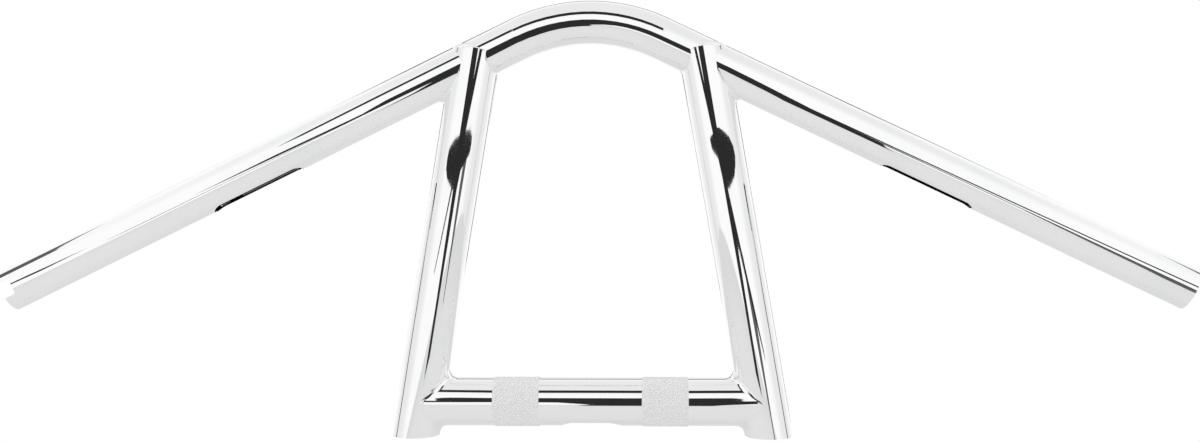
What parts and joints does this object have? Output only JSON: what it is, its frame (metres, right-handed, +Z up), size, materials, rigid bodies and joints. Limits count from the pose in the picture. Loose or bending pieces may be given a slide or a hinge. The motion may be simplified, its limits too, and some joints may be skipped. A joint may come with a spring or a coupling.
{
  "type": "motorcycle handlebar",
  "caption": "Chromed welded steel T-bar handlebar: bent grip tube on two inward-leaning risers tied by a knurled clamp bar.",
  "frame": {"origin": "middle of the clamp bar, on its axis", "axes": "X along the clamp bar with the notched throttle end at -X, +Z up the risers, Y square to the plane of the risers"},
  "size_m": [0.7082, 0.0391, 0.259],
  "materials": {
    "chrome": "bright chrome plate over polished steel"
  },
  "bodies": {
    "root": {"grip_tube": "chrome", "riser_left": "chrome", "riser_right": "chrome", "clamp_bar": "chrome", "foot_plug_left": "chrome", "foot_plug_right": "chrome", "weld_top_left": "chrome", "weld_top_right": "chrome", "weld_foot_left": "chrome", "weld_foot_right": "chrome"}
  },
  "joints": []
}
